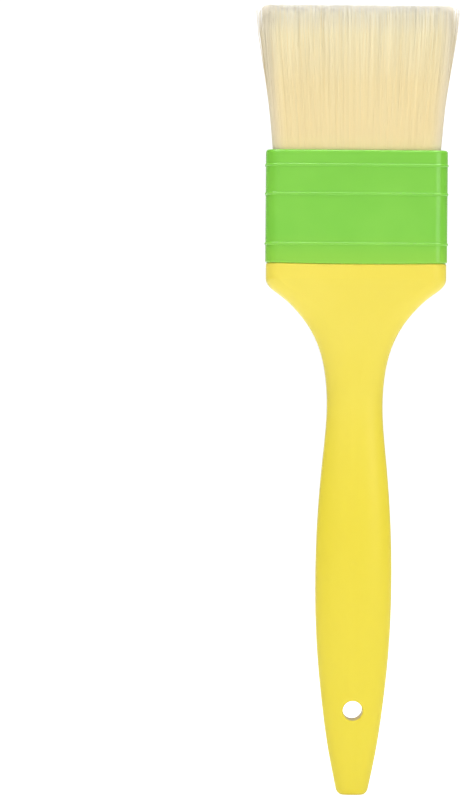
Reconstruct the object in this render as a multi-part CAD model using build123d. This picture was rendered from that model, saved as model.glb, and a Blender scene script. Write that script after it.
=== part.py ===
from build123d import *
import os

# Flat pastry brush, in millimetres. It stands on the butt of its handle with the bristle tips up:
# X is the width, Y the depth (front at -Y) and Z the length, with the origin under the butt's centre.

# Heights along the brush
JOINT_Z = 146.45  # where the handle's shoulder meets the ferrule, at the middle
FERRULE_HEIGHT = 31.3
BRISTLE_LENGTH = 39.15  # free length outside the ferrule
TANG_HEIGHT = 10.0  # the handle's length inside the ferrule
TANG_TOP_Z = JOINT_Z + TANG_HEIGHT
MOUTH_Z = JOINT_Z + FERRULE_HEIGHT
TIP_Z = MOUTH_Z + BRISTLE_LENGTH

# Ferrule: a rounded rectangular sleeve with three raised beads
FERRULE_HALF_WIDTH = 25.0
FERRULE_HALF_DEPTH = 8.0
FERRULE_CORNER = 4.0
FERRULE_WALL = 1.05
FERRULE_EDGE_ROUND = 0.45
MOUTH_EDGE_ROUND = 0.75
BEAD_HEIGHTS = (5.5, 19.2, 27.1)  # above the joint
BEAD_RADIUS = 0.45
BEAD_PROUD = 0.22
JOINT_SAG = 0.3  # the joint line is this much lower at the middle than at its ends
JOINT_RADIUS = FERRULE_HALF_WIDTH**2 / (2 * JOINT_SAG)

# Handle
HANG_HOLE_Z = 23.5
HANG_HOLE_RADIUS = 2.7
HANG_HOLE_ROUND = 0.5
GATE_MARK_Z = 63.7
GATE_MARK_DEPTH = 0.12
GATE_MARK_RADIUS = 4.0
BELLY_HALF_DEPTH = 6.54  # at the gate mark
SHOULDER_EDGE_ROUND = 0.6
BUTT_ROUND = 2.2
TANG_CLEARANCE = 0.1
POCKET_COUNT = 3
POCKET_WALL = 2.0
POCKET_FLOOR = 2.0
POCKET_CORNER = 1.5

# Handle sections: height, half width, half depth, and how far the corners' rounding runs along X and Y
HANDLE_SECTIONS = (
    (0.0, 4.15, 3.50, 3.4, 2.8),
    (4.0, 4.95, 3.85, 4.0, 3.0),
    (12.0, 6.55, 4.40, 5.4, 3.4),
    (24.0, 8.30, 5.00, 7.1, 3.9),
    (40.0, 9.90, 5.95, 8.4, 4.7),
    (58.0, 10.52, 6.55, 9.0, 5.2),
    (76.0, 10.07, 6.30, 8.6, 5.0),
    (92.0, 8.82, 5.70, 7.5, 4.5),
    (107.5, 7.68, 5.30, 6.4, 4.1),
    (116.0, 8.27, 5.45, 6.7, 4.1),
    (122.7, 9.80, 5.80, 7.2, 4.2),
    (128.2, 12.30, 6.25, 7.6, 4.3),
    (133.7, 16.40, 6.92, 7.4, 4.4),
    (137.6, 20.65, 7.42, 6.6, 4.3),
    (139.8, 23.54, 7.70, 5.4, 4.2),
    (140.9, 24.40, 7.82, 4.6, 4.1),
    (142.2, 24.80, 7.95, 4.0, 4.0),
)

# Bristle pack, in two rows that bend about a line across the width, a third of the way up the free length
RESIN_SKIN = 0.55  # resin between the roots and the ferrule's wall
ROOT_HALF_WIDTH = FERRULE_HALF_WIDTH - FERRULE_WALL - RESIN_SKIN
ROOT_HALF_DEPTH = FERRULE_HALF_DEPTH - FERRULE_WALL - RESIN_SKIN
RESIN_FLOOR = 2.0
RESIN_HEIGHT = 9.0
ROOT_Z = TANG_TOP_Z + RESIN_FLOOR
FILLER_HEIGHT = 12.0
FILLER_HALF_WIDTH = 21.5
FILLER_HALF_DEPTH = 2.0
FILLER_CORNER = 1.0
FLEX_Z = MOUTH_Z + BRISTLE_LENGTH / 3
FLEX_HALF_WIDTH = 24.3
FLEX_HALF_DEPTH = 6.7
FLEX_CLEARANCE = 0.3
LIP_DROP = 3.1  # the fixed lengths' outer lips lie this far below the bending line
LIP_HALF_WIDTH = 24.0
PACK_CORNER = 2.6
BULGE_Z = FLEX_Z + 12.0
BULGE_HALF_WIDTH = 25.7
BULGE_HALF_DEPTH = 7.2
TIP_HALF_WIDTH = 26.6
TIP_HALF_DEPTH = 7.0

OVERRUN = 2.0  # how far a cutter or a hidden join runs past the face that it meets


def level(z):
    """A horizontal plane at height z."""
    return Plane.XY.offset(z)


def rounded_section(z, half_width, half_depth, round_x, round_y):
    """A rectangle at height z whose corners are quarter ellipses."""
    flat_x = half_width - round_x
    flat_y = half_depth - round_y
    with BuildSketch(level(z)) as section:
        with BuildLine():
            for side_x, side_y, start in ((1, 1, 0), (-1, 1, 90), (-1, -1, 180), (1, -1, 270)):
                centre = (side_x * flat_x, side_y * flat_y)
                EllipticalCenterArc(centre, round_x, round_y, start, arc_size=90)
            for side in (-1, 1):
                Line((-flat_x, side * half_depth), (flat_x, side * half_depth))
                Line((side * half_width, -flat_y), (side * half_width, flat_y))
        make_face()
    return section.sketch


def rounded_bar(z_low, z_high, half_width, half_depth, corner):
    """An upright bar with rounded vertical edges."""
    outline = level(z_low) * RectangleRounded(2 * half_width, 2 * half_depth, corner)
    return extrude(outline, amount=z_high - z_low)


def joint_cylinder():
    """The large cylinder, along Y, whose lowest line is the joint between shoulder and ferrule."""
    centre = Location((0, 0, JOINT_Z + JOINT_RADIUS), (90, 0, 0))
    return centre * Cylinder(JOINT_RADIUS, 4 * FERRULE_HALF_DEPTH)


def ferrule_bore():
    """The space inside the ferrule, longer than the ferrule at both ends."""
    return rounded_bar(
        JOINT_Z - OVERRUN,
        MOUTH_Z + OVERRUN,
        FERRULE_HALF_WIDTH - FERRULE_WALL,
        FERRULE_HALF_DEPTH - FERRULE_WALL,
        FERRULE_CORNER - FERRULE_WALL,
    )


def bead(z):
    """One raised bead round the ferrule: a round bar sunk into the wall."""
    sunk = BEAD_RADIUS - BEAD_PROUD
    outline = RectangleRounded(
        2 * (FERRULE_HALF_WIDTH - sunk),
        2 * (FERRULE_HALF_DEPTH - sunk),
        FERRULE_CORNER - sunk,
    )
    path = (level(z) * outline).face().outer_wire()
    bar_end = Plane(origin=path @ 0, z_dir=path % 0)
    return sweep(bar_end * Circle(BEAD_RADIUS), path=path)


def make_ferrule():
    """Moulded sleeve, with a softened edge at each end."""
    sleeve = rounded_bar(
        JOINT_Z - OVERRUN, MOUTH_Z, FERRULE_HALF_WIDTH, FERRULE_HALF_DEPTH, FERRULE_CORNER
    )
    sleeve &= joint_cylinder()
    sleeve = fillet(sleeve.faces().sort_by(Axis.Z)[0].edges(), FERRULE_EDGE_ROUND)
    sleeve = fillet(sleeve.faces().sort_by(Axis.Z)[-1].edges(), MOUTH_EDGE_ROUND)
    for height in BEAD_HEIGHTS:
        sleeve += bead(JOINT_Z + height)
    return sleeve - ferrule_bore()


def make_grip():
    """The handle from its butt to the top of the shoulder's sweep, with the hang hole and gate mark."""
    grip = loft([rounded_section(*section) for section in HANDLE_SECTIONS])
    grip = fillet(grip.faces().sort_by(Axis.Z)[0].edges(), BUTT_ROUND)
    grip -= Location((0, 0, HANG_HOLE_Z), (90, 0, 0)) * Cylinder(HANG_HOLE_RADIUS, 4 * BELLY_HALF_DEPTH)
    hole_wall = grip.faces().filter_by(GeomType.CYLINDER)[0]
    rims = [edge for edge in hole_wall.edges() if edge.geom_type != GeomType.LINE]
    grip = fillet(rims, HANG_HOLE_ROUND)
    mark_y = -BELLY_HALF_DEPTH - GATE_MARK_RADIUS + GATE_MARK_DEPTH
    return grip - Pos(0, mark_y, GATE_MARK_Z) * Sphere(GATE_MARK_RADIUS)


def make_collar():
    """The straight top of the shoulder, which meets the ferrule with a softened edge."""
    z_low, half_width, half_depth, corner, _ = HANDLE_SECTIONS[-1]
    collar = rounded_bar(z_low, JOINT_Z + OVERRUN, half_width, half_depth, corner) - joint_cylinder()
    return fillet(collar.faces().sort_by(Axis.Z)[-1].edges(), SHOULDER_EDGE_ROUND)


def make_tang():
    """The part of the handle inside the ferrule, with core pockets open at its top."""
    half_width = FERRULE_HALF_WIDTH - FERRULE_WALL - TANG_CLEARANCE
    half_depth = FERRULE_HALF_DEPTH - FERRULE_WALL - TANG_CLEARANCE
    corner = FERRULE_CORNER - FERRULE_WALL - TANG_CLEARANCE
    tang = rounded_bar(JOINT_Z - OVERRUN, TANG_TOP_Z, half_width, half_depth, corner)
    pitch = (2 * half_width - POCKET_WALL) / POCKET_COUNT
    for index in range(POCKET_COUNT):
        centre_x = (index - (POCKET_COUNT - 1) / 2) * pitch
        pocket = rounded_bar(
            JOINT_Z + POCKET_FLOOR,
            TANG_TOP_Z + OVERRUN,
            (pitch - POCKET_WALL) / 2,
            half_depth - POCKET_WALL,
            POCKET_CORNER,
        )
        tang -= Pos(centre_x, 0, 0) * pocket
    return tang


def make_handle():
    """The moulded handle in one piece."""
    return make_grip() + make_collar() + make_tang()


def bending_cylinder(radius):
    """A cylinder about the line that the free lengths bend about."""
    return Location((0, 0, FLEX_Z), (0, 90, 0)) * Cylinder(radius, 4 * FLEX_HALF_WIDTH)


def split_rows(pack):
    """The front and the rear half of a pack."""
    front = split(pack, bisect_by=Plane.XZ, keep=Keep.TOP)
    rear = split(pack, bisect_by=Plane.XZ, keep=Keep.BOTTOM)
    return front, rear


def make_filler_strip():
    """The strip between the two rows at their roots."""
    return rounded_bar(
        ROOT_Z, ROOT_Z + FILLER_HEIGHT, FILLER_HALF_WIDTH, FILLER_HALF_DEPTH, FILLER_CORNER
    )


def make_roots():
    """The fixed lower lengths of both rows, front and rear, each a plain solid."""
    in_ferrule = rounded_bar(ROOT_Z, MOUTH_Z, ROOT_HALF_WIDTH, ROOT_HALF_DEPTH, PACK_CORNER)
    lips_z = FLEX_Z - LIP_DROP
    above = loft(
        [
            level(MOUTH_Z) * RectangleRounded(2 * ROOT_HALF_WIDTH, 2 * ROOT_HALF_DEPTH, PACK_CORNER),
            level(lips_z) * RectangleRounded(2 * LIP_HALF_WIDTH, 2 * FLEX_HALF_DEPTH, PACK_CORNER),
        ]
    )
    both = in_ferrule + above - bending_cylinder(FLEX_HALF_DEPTH + FLEX_CLEARANCE) - make_filler_strip()
    return split_rows(both)


def make_free_lengths():
    """The bending upper lengths of both rows: a round base about the bending line, then a flare to the tips."""
    flare = loft(
        [
            level(FLEX_Z) * RectangleRounded(2 * FLEX_HALF_WIDTH, 2 * FLEX_HALF_DEPTH, PACK_CORNER),
            level(BULGE_Z) * RectangleRounded(2 * BULGE_HALF_WIDTH, 2 * BULGE_HALF_DEPTH, PACK_CORNER),
            level(TIP_Z) * RectangleRounded(2 * TIP_HALF_WIDTH, 2 * TIP_HALF_DEPTH, PACK_CORNER),
        ]
    )
    below = rounded_bar(
        FLEX_Z - FLEX_HALF_DEPTH, FLEX_Z, FLEX_HALF_WIDTH, FLEX_HALF_DEPTH, PACK_CORNER
    )
    base = below & bending_cylinder(FLEX_HALF_DEPTH)
    return split_rows(flare + base)


def make_resin_plug():
    """Set resin on top of the tang, round the roots and the strip."""
    low = TANG_TOP_Z
    block = rounded_bar(
        low,
        low + RESIN_HEIGHT,
        FERRULE_HALF_WIDTH - FERRULE_WALL,
        FERRULE_HALF_DEPTH - FERRULE_WALL,
        FERRULE_CORNER - FERRULE_WALL,
    )
    top = low + RESIN_HEIGHT + OVERRUN
    return block - rounded_bar(ROOT_Z, top, ROOT_HALF_WIDTH, ROOT_HALF_DEPTH, PACK_CORNER)


def main():
    """Builds every piece and writes one STEP file for each."""
    front_roots, rear_roots = make_roots()
    front_bristles, rear_bristles = make_free_lengths()
    pieces = {
        "handle": make_handle(),
        "ferrule": make_ferrule(),
        "resin_plug": make_resin_plug(),
        "filler_strip": make_filler_strip(),
        "front_bristle_roots": front_roots,
        "rear_bristle_roots": rear_roots,
        "front_bristles": front_bristles,
        "rear_bristles": rear_bristles,
    }
    os.makedirs("parts", exist_ok=True)
    for name, piece in pieces.items():
        export_step(piece, f"parts/{name}.step")


main()
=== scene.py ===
import math

import bpy
import numpy as np
from mathutils import Matrix, Vector


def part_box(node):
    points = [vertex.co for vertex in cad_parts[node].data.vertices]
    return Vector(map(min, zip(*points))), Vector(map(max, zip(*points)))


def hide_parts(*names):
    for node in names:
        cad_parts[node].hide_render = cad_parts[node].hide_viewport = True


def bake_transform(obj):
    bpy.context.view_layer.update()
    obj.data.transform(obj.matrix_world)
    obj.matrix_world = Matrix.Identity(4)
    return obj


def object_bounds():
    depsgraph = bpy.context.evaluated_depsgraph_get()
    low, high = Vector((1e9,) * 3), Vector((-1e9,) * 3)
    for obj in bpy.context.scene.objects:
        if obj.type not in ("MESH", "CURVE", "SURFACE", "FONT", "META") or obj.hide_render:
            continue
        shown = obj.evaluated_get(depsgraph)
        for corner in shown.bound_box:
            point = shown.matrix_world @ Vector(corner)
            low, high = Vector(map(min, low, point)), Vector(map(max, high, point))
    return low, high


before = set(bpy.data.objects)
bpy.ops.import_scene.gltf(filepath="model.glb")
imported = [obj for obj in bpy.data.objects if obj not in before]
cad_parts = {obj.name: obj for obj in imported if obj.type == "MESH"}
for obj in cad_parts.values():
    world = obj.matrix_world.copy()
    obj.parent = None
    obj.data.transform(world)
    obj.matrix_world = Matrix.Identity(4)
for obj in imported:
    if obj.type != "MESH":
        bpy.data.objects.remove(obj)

cad_low, cad_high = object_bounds()
MM = 0.001

# Places on the object, read from the frame
ferrule_low, ferrule_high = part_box("ferrule")
MOUTH_Z = ferrule_high.z
TIP_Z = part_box("front_bristles")[1].z
ROOT_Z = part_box("resin_plug")[1].z - 0.5 * MM
FREE_LENGTH = TIP_Z - MOUTH_Z

# Filaments: each row has these, less the few beyond its corners, and the skin's layers besides
FILAMENTS_PER_ROW = 8000
SKIN_LAYERS = 5
SKIN_SPACING = 0.105 * MM
PIECES_PER_ROW = 6
FILAMENT_RADIUS = 0.080 * MM
TIP_RADIUS = 0.062 * MM
FILAMENT_SIDES = 4
PACK_CORNER = 2.6 * MM
ROOT_SHARE = 0.25  # about the share of a filament's length that is inside the ferrule

# How uneven the tips are, against the CAD's level top
TIP_SPREAD = 0.36 * MM
LOWEST_TIP = -1.2 * MM
HIGHEST_TIP = 0.45 * MM
CORNER_FROM = 0.96  # share of the half width from which the tips get lower
CORNER_DROP = 0.45 * MM

# How far the filaments lean at their tips, and which of them stray outwards
TUFTS_PER_HALF = 110
CLOSEST_GATHER = 0.06
SIDEWAYS_LEAN = 0.08 * MM
FORWARD_LEAN = 0.03 * MM
STRAY_SHARE = 0.006
EDGE_STRAY_SHARE = 0.03
EDGE_FROM = 0.95  # share of the half width from which the filaments are edge ones
USUAL_STRAY = 0.75  # in millimetres
FURTHEST_STRAY = 2.0  # in millimetres

# Inside the ferrule a row is thinner and lies further out, clear of the filler strip
ROOT_DEPTH_SHARE = 0.66
ROOT_OFFSET = 2.1 * MM
BUNDLE_ROOT_DEPTH_SHARE = 0.6
BUNDLE_ROOT_OFFSET = 1.2 * MM

# Layers on the filaments' meshes
FILAMENT_LAYER = "OFBake"  # the filaments' own UV map: across the row, and along each filament
FLANK_LAYER = "flank"  # how far each filament is from the middle of the pack to its side, from 0 to 1

# How strongly the white surroundings light the object from the front, the back and the sides
FRONT_WORLD = 0.72
BACK_WORLD = 0.65
SIDE_WORLD = 0.2
OVERHEAD_SHARE = 0.2  # the part of that which comes from straight above
FLOOR_GLOW = 0.43  # stands in for a brighter floor

# How bright the surroundings and the floor's glow look to the camera itself
SEEN_WORLD = 1.1
SEEN_FLOOR = 0.9

# Half widths and half depths of the pack at shares of the free length above the mouth
PACK_SHARES = np.array([0.0, 0.27, 0.44, 0.61, 0.73, 0.84, 1.0])
PACK_HALF_WIDTHS = np.array([23.0, 23.9, 24.6, 25.3, 25.8, 26.1, 26.1]) * MM
PACK_HALF_DEPTHS = np.array([6.6, 6.8, 7.0, 7.1, 7.1, 7.05, 6.95]) * MM
# Shares of the free length at which each filament has a ring; those below 0 are inside the ferrule
RING_SHARES = np.array([-0.34, -0.16, 0.0, 0.11, 0.22, 0.33, 0.44, 0.56, 0.67, 0.83, 0.93, 1.0])


# ---------------------------------------------------------------- node helpers


def new_material(name):
    """A material with one Principled shader, and its node tree."""
    material = bpy.data.materials.new(name)
    material.use_nodes = True
    tree = material.node_tree
    shader = tree.nodes["Principled BSDF"]
    return material, tree, shader


def object_coordinates(tree, scale=(1, 1, 1)):
    """Object coordinates, in metres, times a scale along each axis."""
    coordinates = tree.nodes.new("ShaderNodeTexCoord")
    mapping = tree.nodes.new("ShaderNodeMapping")
    mapping.inputs["Scale"].default_value = scale
    tree.links.new(coordinates.outputs["Object"], mapping.inputs["Vector"])
    return mapping.outputs["Vector"]


def noise(tree, vector, scale, roughness=0.5):
    """Noise with so many cells in each unit of the vector."""
    node = tree.nodes.new("ShaderNodeTexNoise")
    node.inputs["Scale"].default_value = scale
    node.inputs["Detail"].default_value = 2.0
    node.inputs["Roughness"].default_value = roughness
    tree.links.new(vector, node.inputs["Vector"])
    return node.outputs["Fac"]


def ramp(tree, value, stops):
    """A colour ramp with (position, colour) stops."""
    node = tree.nodes.new("ShaderNodeValToRGB")
    elements = node.color_ramp.elements
    while len(elements) < len(stops):
        elements.new(0.5)
    for element, (position, colour) in zip(elements, stops):
        element.position = position
        element.color = (*colour, 1)
    tree.links.new(value, node.inputs["Fac"])
    return node.outputs["Color"]


def map_range(tree, value, low, high, out_low, out_high):
    """A smooth step from out_low, where the value is low, to out_high, where it is high."""
    node = tree.nodes.new("ShaderNodeMapRange")
    node.interpolation_type = "SMOOTHSTEP"
    for name, number in (
        ("From Min", low),
        ("From Max", high),
        ("To Min", out_low),
        ("To Max", out_high),
    ):
        node.inputs[name].default_value = number
    tree.links.new(value, node.inputs["Value"])
    return node.outputs["Result"]


def mix_colours(tree, share, first, second):
    """first where share is 0 and second where it is 1; each is a colour or a socket."""
    node = tree.nodes.new("ShaderNodeMix")
    node.data_type = "RGBA"
    for socket, value in zip((node.inputs[6], node.inputs[7]), (first, second)):
        if isinstance(value, tuple):
            socket.default_value = (*value, 1)
        else:
            tree.links.new(value, socket)
    tree.links.new(share, node.inputs[0])
    return node.outputs[2]


def mix_numbers(tree, share, first, second):
    """The socket first where share is 0 and the number second where it is 1."""
    node = tree.nodes.new("ShaderNodeMix")
    tree.links.new(share, node.inputs["Factor"])
    tree.links.new(first, node.inputs["A"])
    node.inputs["B"].default_value = second
    return node.outputs["Result"]


def calculate(tree, operation, *values):
    """The result of one sum on sockets, such as MULTIPLY or ABSOLUTE."""
    node = tree.nodes.new("ShaderNodeMath")
    node.operation = operation
    for socket, value in zip(node.inputs, values):
        tree.links.new(value, socket)
    return node.outputs["Value"]


def height_of(tree, vector):
    """The Z of a vector."""
    node = tree.nodes.new("ShaderNodeSeparateXYZ")
    tree.links.new(vector, node.inputs["Vector"])
    return node.outputs["Z"]


def add_bump(tree, shader, height, distance, strength):
    """Bumps from a height socket, with their distance in metres."""
    bump = tree.nodes.new("ShaderNodeBump")
    bump.inputs["Distance"].default_value = distance
    bump.inputs["Strength"].default_value = strength
    tree.links.new(height, bump.inputs["Height"])
    tree.links.new(bump.outputs["Normal"], shader.inputs["Normal"])


# ---------------------------------------------------------------- materials


def moulded_plastic(
    name, base, pale, roughness_range, subsurface, painted_light=None, painted_light_span=None, shine=0.35
):
    """Moulded plastic: cloudy colour, orange peel, faint rubbing and maybe painted light that fades
    upwards.
    """
    material, tree, shader = new_material(name)
    place = object_coordinates(tree)
    along = object_coordinates(tree, (1.0, 1.0, 0.3))
    cloud = noise(tree, place, 55.0)
    rubbed = noise(tree, along, 420.0)
    peel = noise(tree, place, 900.0)
    colour = mix_colours(tree, map_range(tree, cloud, 0.35, 0.7, 0.0, 1.0), base, pale)
    # painted light: the plastic takes the given colour at the foot of its span, fading to its own colour
    # at the top
    if painted_light:
        painted_light_share = map_range(tree, height_of(tree, place), *painted_light_span, 1.0, 0.0)
        colour = mix_colours(tree, painted_light_share, colour, painted_light)
    tree.links.new(colour, shader.inputs["Base Color"])
    roughness = map_range(tree, rubbed, 0.35, 0.75, *roughness_range)
    tree.links.new(roughness, shader.inputs["Roughness"])
    add_bump(tree, shader, peel, 0.05 * MM, 0.1)
    shader.inputs["Specular IOR Level"].default_value = shine
    shader.inputs["Subsurface Weight"].default_value = subsurface
    shader.inputs["Subsurface Radius"].default_value = (1.0, 0.8, 0.3)
    shader.inputs["Subsurface Scale"].default_value = 1.2 * MM
    return material


def filament_material(name):
    """Cream filaments, some warmer. Painted light lightens the roots and greys the pack's sides; the
    greyer tips are partly painted shade.
    """
    material, tree, shader = new_material(name)
    layer = tree.nodes.new("ShaderNodeUVMap")
    layer.uv_map = FILAMENT_LAYER
    place = tree.nodes.new("ShaderNodeSeparateXYZ")
    tree.links.new(layer.outputs["UV"], place.inputs["Vector"])
    tone_and_painted_light = ramp(
        tree,
        place.outputs["Y"],
        [
            # painted light: the roots are lighter at the mouth, to lift the shade that the ferrule's wall
            # casts on them
            (ROOT_SHARE, (0.93, 0.79, 0.43)),
            (ROOT_SHARE + 0.1, (0.90, 0.75, 0.41)),
            (0.6, (0.91, 0.77, 0.44)),
            (0.85, (0.93, 0.84, 0.56)),
            # greyer and darker at the tips: partly the tips' own grey, partly painted shade that keeps the
            # top lamp from bleaching the tip ends
            (0.96, (0.88, 0.83, 0.655)),
            (0.985, (0.79, 0.76, 0.65)),
            (1.0, (0.69, 0.67, 0.61)),
        ],
    )
    mapping = tree.nodes.new("ShaderNodeMapping")
    mapping.inputs["Scale"].default_value = (1100.0, 3.0, 1.0)
    tree.links.new(layer.outputs["UV"], mapping.inputs["Vector"])
    single = noise(tree, mapping.outputs["Vector"], 1.0, 0.6)
    warm = map_range(tree, single, 0.45, 0.75, 0.0, 0.6)
    warmed = mix_colours(tree, warm, tone_and_painted_light, (0.95, 0.76, 0.38))
    # painted light: the pack's sides are paler and greyer where the white surroundings shine through its
    # thin edge
    flank = tree.nodes.new("ShaderNodeAttribute")
    flank.attribute_name = FLANK_LAYER
    painted_side_light = map_range(tree, flank.outputs["Fac"], 0.84, 1.0, 0.0, 0.55)
    colour = mix_colours(tree, painted_side_light, warmed, (0.80, 0.73, 0.60))
    tree.links.new(colour, shader.inputs["Base Color"])
    shader.inputs["Roughness"].default_value = 0.42
    return material


def floor_material():
    """A pale matt floor, which the camera sees as lit up to pure white."""
    material, tree, shader = new_material("pale_floor")
    shader.inputs["Base Color"].default_value = (0.58, 0.58, 0.58, 1)
    shader.inputs["Roughness"].default_value = 1.0
    shader.inputs["Specular IOR Level"].default_value = 0.0
    shader.inputs["Emission Color"].default_value = (1, 1, 1, 1)
    seen = tree.nodes.new("ShaderNodeLightPath").outputs["Is Camera Ray"]
    glow = map_range(tree, seen, 0.0, 1.0, FLOOR_GLOW, SEEN_FLOOR)
    tree.links.new(glow, shader.inputs["Emission Strength"])
    return material


# ---------------------------------------------------------------- filaments


def row_outline(half_width, half_depth):
    """The outside of one row, half of a rounded rectangle, as (x, y) points from right to left."""
    turns = np.linspace(0, math.pi / 2, 7)
    middle_x, middle_y = half_width - PACK_CORNER, half_depth - PACK_CORNER
    right = [(middle_x + PACK_CORNER * math.cos(a), middle_y + PACK_CORNER * math.sin(a)) for a in turns]
    left = [(-x, y) for x, y in reversed(right)]
    return [(half_width, 0.0), *right, *left, (-half_width, 0.0)]


def rounded_places(count, rng):
    """Places over one row: u across the pack from -1 to 1, and v from its middle, 0, to its outside, 1."""
    half_width, half_depth = PACK_HALF_WIDTHS[0], PACK_HALF_DEPTHS[0]
    columns = int(math.sqrt(count * half_width * 2 / half_depth))
    lines = count // columns
    u = (np.arange(columns) + 0.5) / columns * 2 - 1
    v = (np.arange(lines) + 0.5) / lines
    u, v = (a.ravel() for a in np.meshgrid(u, v))
    u = np.clip(u + rng.uniform(-1, 1, u.size) / columns * 0.9, -1, 1)
    v = np.clip(v + rng.uniform(-1, 1, v.size) / lines * 0.45, 0.0, 1)
    x, y = u * half_width, v * half_depth
    over_x = np.maximum(np.abs(x) - (half_width - PACK_CORNER), 0)
    over_y = np.maximum(y - (half_depth - PACK_CORNER), 0)
    inside = np.hypot(over_x, over_y) <= PACK_CORNER
    return u[inside], v[inside]


def skin_places(rng):
    """Places in even layers along the outside of one row, each coordinate as in rounded_places."""
    half_width, half_depth = PACK_HALF_WIDTHS[0], PACK_HALF_DEPTHS[0]
    places = []
    for layer in range(SKIN_LAYERS):
        inner = layer * SKIN_SPACING
        outline = np.array(row_outline(half_width - inner, half_depth - inner))
        reached = np.concatenate([[0], np.cumsum(np.hypot(*np.diff(outline, axis=0).T))])
        count = int(reached[-1] / SKIN_SPACING)
        along = (np.arange(count) + 0.5 + rng.uniform(-0.3, 0.3, count)) / count * reached[-1]
        places.append([np.interp(along, reached, outline[:, axis]) for axis in range(2)])
    x, y = np.concatenate(places, axis=1)
    return x / half_width, y / half_depth


def pack_half_sizes(share):
    """Half width and half depth of the pack at a share of the free length above the mouth."""
    return np.interp(share, PACK_SHARES, PACK_HALF_WIDTHS), np.interp(share, PACK_SHARES, PACK_HALF_DEPTHS)


def place_along(share):
    """Where a share of the free length lies on a whole filament: 0 at its root and 1 at its tip."""
    return (share - RING_SHARES[0]) / (1 - RING_SHARES[0])


def tip_heights(u, side, rng):
    """Uneven heights of a row's tips, which are lower at the corners of the pack."""
    rise = rng.normal(0, TIP_SPREAD, u.size)
    rise += 0.08 * MM * np.sin(u * 19 + side) + 0.05 * MM * np.sin(u * 47)
    corner = np.maximum(np.abs(u) - CORNER_FROM, 0) / (1 - CORNER_FROM)
    return TIP_Z + np.clip(rise, LOWEST_TIP, HIGHEST_TIP) - corner * CORNER_DROP


def tip_leans(u, rng):
    """How far each filament's tip leans sideways and forwards; some stray outwards."""
    lean_x = rng.normal(0, SIDEWAYS_LEAN, u.size)
    lean_y = rng.normal(0, FORWARD_LEAN, u.size)
    stray = rng.random(u.size) < np.where(np.abs(u) > EDGE_FROM, EDGE_STRAY_SHARE, STRAY_SHARE)
    outwards = np.minimum(rng.exponential(USUAL_STRAY, stray.sum()), FURTHEST_STRAY) * MM
    lean_x[stray] += np.sign(u[stray]) * outwards
    return lean_x, lean_y


def filament_lines(u, v, side, rng):
    """Centre lines of a row's filaments as an array (filament, ring, xyz), and the rings' radii."""
    tip_z = tip_heights(u, side, rng)
    tuft_u = np.round(u * TUFTS_PER_HALF + rng.normal(0, 0.3, u.size)) / TUFTS_PER_HALF
    gather = rng.uniform(0.0, CLOSEST_GATHER, u.size)
    lean_x, lean_y = tip_leans(u, rng)
    lines = np.zeros((u.size, RING_SHARES.size, 3))
    for ring, share in enumerate(RING_SHARES):
        up = max(share, 0.0)
        half_width, half_depth = pack_half_sizes(up)
        x = (u + (tuft_u - u) * gather * up**2) * half_width + lean_x * up**2
        y = v * half_depth + lean_y * up**2
        z = MOUTH_Z + (tip_z - MOUTH_Z) * share
        if share < 0:
            y = np.maximum(y, 0) * ROOT_DEPTH_SHARE + ROOT_OFFSET * min(1.0, -share / 0.3)
            y = np.minimum(y, half_depth)
            z = MOUTH_Z + (MOUTH_Z - ROOT_Z) * share / -RING_SHARES[0]
        lines[:, ring, 0] = x
        lines[:, ring, 1] = side * y
        lines[:, ring, 2] = z
    thin = np.clip((RING_SHARES - 0.85) / 0.15, 0, 1)
    radii = FILAMENT_RADIUS + (TIP_RADIUS - FILAMENT_RADIUS) * thin
    return lines, radii


def add_layers(mesh, across, along, flank):
    """Writes the filaments' UV map and flank layer from a value of each for every vertex."""
    corners = np.zeros(len(mesh.loops), np.int32)
    mesh.loops.foreach_get("vertex_index", corners)
    layer = mesh.uv_layers.new(name=FILAMENT_LAYER)
    places = np.stack([across[corners], along[corners]], axis=1)
    layer.data.foreach_set("uv", places.ravel().astype(np.float32))
    sideways = mesh.attributes.new(FLANK_LAYER, "FLOAT", "POINT")
    sideways.data.foreach_set("value", flank.astype(np.float32))


def tube_points(lines, radii, rng):
    """Points (filament, ring, side, xyz) round the centre lines; each tube has its own turn and size."""
    count, rings, _ = lines.shape
    turn = rng.uniform(0, 2 * math.pi, count)
    size = rng.uniform(0.85, 1.15, count)
    points = np.zeros((count, rings, FILAMENT_SIDES, 3))
    for side in range(FILAMENT_SIDES):
        angle = turn + 2 * math.pi * side / FILAMENT_SIDES
        for ring in range(rings):
            radius = radii[ring] * size
            points[:, ring, side, 0] = lines[:, ring, 0] + radius * np.cos(angle)
            points[:, ring, side, 1] = lines[:, ring, 1] + radius * np.sin(angle)
            points[:, ring, side, 2] = lines[:, ring, 2]
    return points


def tube_faces(count, rings):
    """The four-sided faces along the tubes, and those that close their two ends."""
    sides = FILAMENT_SIDES
    tube = np.arange(count)[:, None, None, None] * rings * sides
    ring = tube + np.arange(rings - 1)[None, :, None, None] * sides
    side = np.arange(sides)[None, None, :, None]
    following = (side + 1) % sides
    corners = [ring + side, ring + following, ring + sides + following, ring + sides + side]
    walls = np.concatenate(corners, axis=3).reshape(-1, 4)
    first = np.arange(count)[:, None] * rings * sides
    roots = first + np.arange(sides)[::-1]
    tips = first + (rings - 1) * sides + np.arange(sides)
    return walls, np.concatenate([roots, tips])


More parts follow.
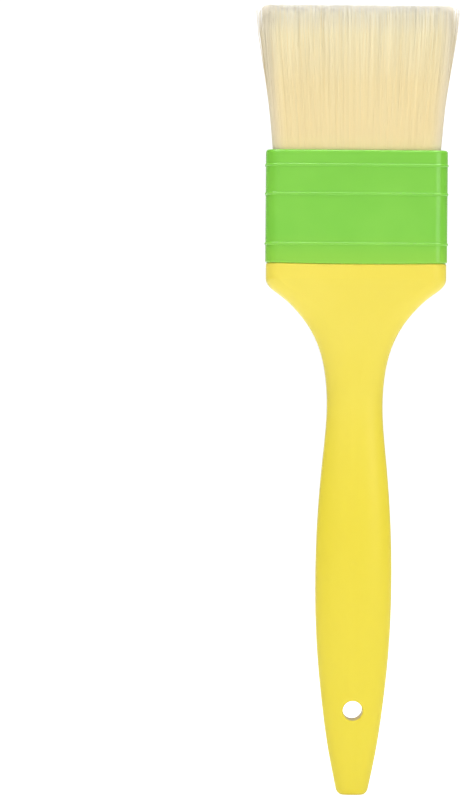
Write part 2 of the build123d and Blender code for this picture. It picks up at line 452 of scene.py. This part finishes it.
def tube_mesh(name, lines, radii, rng):
    """One mesh of closed tubes along the centre lines."""
    count, rings, _ = lines.shape
    points = tube_points(lines, radii, rng)
    walls, ends = tube_faces(count, rings)
    faces = np.concatenate([walls, ends])
    mesh = bpy.data.meshes.new(name)
    mesh.vertices.add(points.size // 3)
    mesh.vertices.foreach_set("co", points.ravel())
    mesh.loops.add(faces.size)
    mesh.loops.foreach_set("vertex_index", faces.ravel())
    mesh.polygons.add(len(faces))
    mesh.polygons.foreach_set("loop_start", np.arange(len(faces)) * 4)
    mesh.update(calc_edges=True)
    mesh.polygons.foreach_set("use_smooth", np.arange(len(faces)) < len(walls))
    mesh.validate()
    across = (np.arange(count)[:, None, None] + 0.2 + 0.2 * np.arange(FILAMENT_SIDES)) / count
    along = place_along(RING_SHARES)[None, :, None]
    flank = np.abs(lines[:, 0, 0])[:, None, None] / PACK_HALF_WIDTHS[0]
    shape = points.shape[:3]
    add_layers(mesh, *(np.broadcast_to(values, shape).ravel() for values in (across, along, flank)))
    return mesh


def stack_faces(rings, around):
    """The faces of a closed stack of rings with so many points around each."""
    faces = []
    for low in range(0, (rings - 1) * around, around):
        high = low + around
        for i in range(around):
            following = (i + 1) % around
            faces.append((low + i, low + following, high + following, high + i))
    faces.append(tuple(range(around))[::-1])
    faces.append(tuple(range((rings - 1) * around, rings * around)))
    return faces


def bundle_mesh(name, side):
    """The close-packed inside of a row, just under its outer filaments."""
    shares = np.array([-0.2, 0.0, 0.11, 0.22, 0.33, 0.44, 0.56, 0.67, 0.75, 0.83, 0.89, 0.93, 0.95])
    inset = (0.3 + 0.3 * np.clip((shares - 0.7) / 0.25, 0, 1) ** 3) * MM
    points = []
    for share, inner in zip(shares, inset):
        half_width, half_depth = pack_half_sizes(max(share, 0.0))
        outline = row_outline(half_width - inner, half_depth - inner)
        if share < 0:
            outline = [(x, y * BUNDLE_ROOT_DEPTH_SHARE + BUNDLE_ROOT_OFFSET) for x, y in outline]
        points += [(x, side * y, MOUTH_Z + FREE_LENGTH * share) for x, y in outline]
    around = len(outline)
    faces = stack_faces(len(shares), around)
    if side < 0:
        faces = [face[::-1] for face in faces]
    mesh = bpy.data.meshes.new(name)
    mesh.from_pydata(points, [], faces)
    mesh.validate()
    across = np.array([point[0] for point in points]) / PACK_HALF_WIDTHS[-1]
    # The top ring has the tips' colour
    places = place_along(shares)
    places[-1] = 1.0
    add_layers(mesh, across / 2 + 0.5, np.repeat(places, around), np.abs(across))
    return mesh


def add_piece(row, name, mesh, material):
    """Makes a piece of a row's bristles, and hides the CAD row it stands in for."""
    piece = bpy.data.objects.new(name, mesh)
    bpy.context.scene.collection.objects.link(piece)
    mesh.materials.append(material)
    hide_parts(f"{row}_bristles", f"{row}_bristle_roots")
    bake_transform(piece)


def make_row(row, side, material):
    """The filaments of one row, in a few pieces, over the row's close-packed inside."""
    rng = np.random.default_rng(11 if side < 0 else 12)
    u, v = np.concatenate([rounded_places(FILAMENTS_PER_ROW, rng), skin_places(rng)], axis=1)
    lines, radii = filament_lines(u, v, side, rng)
    order = np.argsort(u)
    for index, chosen in enumerate(np.array_split(order, PIECES_PER_ROW)):
        name = f"{row}_filaments_{index + 1}"
        add_piece(row, name, tube_mesh(name, lines[chosen], radii, rng), material)
    name = f"{row}_bundle"
    add_piece(row, name, bundle_mesh(name, side), material)


# ---------------------------------------------------------------- stage


def make_floor():
    """A wide floor at the object's foot."""
    size = 80.0
    mesh = bpy.data.meshes.new("floor")
    corners = [(-size, -size, 0), (size, -size, 0), (size, size, 0), (-size, size, 0)]
    mesh.from_pydata(corners, [], [(0, 1, 2, 3)])
    floor = bpy.data.objects.new("floor", mesh)
    floor.location.z = cad_low.z
    bpy.context.scene.collection.objects.link(floor)
    mesh.materials.append(floor_material())


def make_light(name, place, target, size, watts):
    """A white area lamp that faces its target and doesn't show in the picture."""
    data = bpy.data.lights.new(name, "AREA")
    data.shape = "RECTANGLE"
    data.size, data.size_y = size
    data.energy = watts
    light = bpy.data.objects.new(name, data)
    light.location = place
    aim = Vector(target) - Vector(place)
    light.rotation_euler = aim.to_track_quat("-Z", "Y").to_euler()
    light.visible_camera = False
    bpy.context.scene.collection.objects.link(light)


def surroundings_strength(tree, direction):
    """How strongly the surroundings light the object: dimmer from the sides and from above."""
    lengthways = map_range(tree, direction["Y"], -0.5, 0.5, FRONT_WORLD, BACK_WORLD)
    sideways = calculate(tree, "ABSOLUTE", direction["X"])
    turned = map_range(tree, sideways, 0.35, 0.95, 0.0, 1.0)
    level = mix_numbers(tree, turned, lengthways, SIDE_WORLD)
    overhead = map_range(tree, direction["Z"], 0.3, 0.9, 1.0, OVERHEAD_SHARE)
    return calculate(tree, "MULTIPLY", level, overhead)


def make_world():
    """White all round: the camera sees pure white, and the object gets a softer white."""
    world = bpy.data.worlds.new("studio")
    world.use_nodes = True
    bpy.context.scene.world = world
    tree = world.node_tree
    background = tree.nodes["Background"]
    background.inputs["Color"].default_value = (1, 1, 1, 1)
    direction = tree.nodes.new("ShaderNodeSeparateXYZ")
    coordinates = tree.nodes.new("ShaderNodeTexCoord")
    tree.links.new(coordinates.outputs["Generated"], direction.inputs["Vector"])
    seen = tree.nodes.new("ShaderNodeLightPath").outputs["Is Camera Ray"]
    strength = mix_numbers(
        tree, seen, surroundings_strength(tree, direction.outputs), SEEN_WORLD
    )
    tree.links.new(strength, background.inputs["Strength"])


def make_camera():
    """In front of the brush, which stands right of the middle of the view and leans a little in it."""
    view_height = 220.75 * MM
    distance = 1.25
    rise = math.radians(1.0)
    lean = math.radians(0.43)
    middle = Vector((-34.4 * MM, 0, 108.75 * MM))
    data = bpy.data.cameras.new("camera")
    data.sensor_width = 36.0
    data.lens = data.sensor_width * distance / view_height
    data.clip_end = 200.0
    camera = bpy.data.objects.new("camera", data)
    back = Vector((0, -math.cos(rise), math.sin(rise)))
    facing = (-back).to_track_quat("-Z", "Y").to_matrix().to_4x4()
    roll = Matrix.Rotation(lean, 4, "Z")
    camera.matrix_world = Matrix.Translation(middle + back * distance) @ facing @ roll
    bpy.context.scene.collection.objects.link(camera)
    bpy.context.scene.camera = camera


def repaint(node, material):
    """Gives a CAD node a new material in every slot."""
    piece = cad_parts[node]
    for slot in piece.material_slots:
        slot.material = material


def paint_solids():
    """Gives the CAD nodes that stay in the scene their plastics and resin."""
    # The handle is paler towards its shoulder than at its butt: painted light, standing in for the soft
    # highlights the shoulder catches
    yellow = moulded_plastic(
        "yellow_plastic",
        (0.84, 0.70, 0.083),
        (0.855, 0.715, 0.095),
        (0.28, 0.30),
        0.1,
        painted_light=(0.805, 0.67, 0.046),
        painted_light_span=(70 * MM, 135 * MM),
    )
    # The ferrule is a little yellower and brighter at its lower end: painted reflection of the yellow
    # handle just below it
    green = moulded_plastic(
        "green_plastic",
        (0.20, 0.595, 0.047),
        (0.22, 0.62, 0.054),
        (0.17, 0.20),
        0.1,
        painted_light=(0.26, 0.62, 0.048),
        painted_light_span=(ferrule_low.z, ferrule_low.z + 9 * MM),
        shine=0.65,
    )
    amber = moulded_plastic("amber_resin", (0.45, 0.27, 0.09), (0.6, 0.4, 0.16), (0.1, 0.2), 0.1)
    grey = moulded_plastic("grey_strip", (0.6, 0.59, 0.55), (0.7, 0.69, 0.66), (0.5, 0.7), 0.0)
    repaint("handle", yellow)
    repaint("ferrule", green)
    repaint("resin_plug", amber)
    repaint("filler_strip", grey)


def main():
    bpy.context.scene.view_settings.view_transform = "Standard"
    make_world()
    make_camera()
    make_floor()
    make_light("key", (-0.9, -1.6, 1.3), (0, 0, 0.12), size=(1.2, 1.2), watts=7.5)
    make_light("fill", (1.3, -1.5, 0.7), (0, 0, 0.12), size=(1.2, 1.2), watts=7.5)
    make_light("top", (0, 0, 1.3), (0, 0, 0.2), size=(1.4, 0.9), watts=22.0)
    paint_solids()
    cream = filament_material("cream_filament")
    make_row("front", -1, cream)
    make_row("rear", 1, cream)


main()
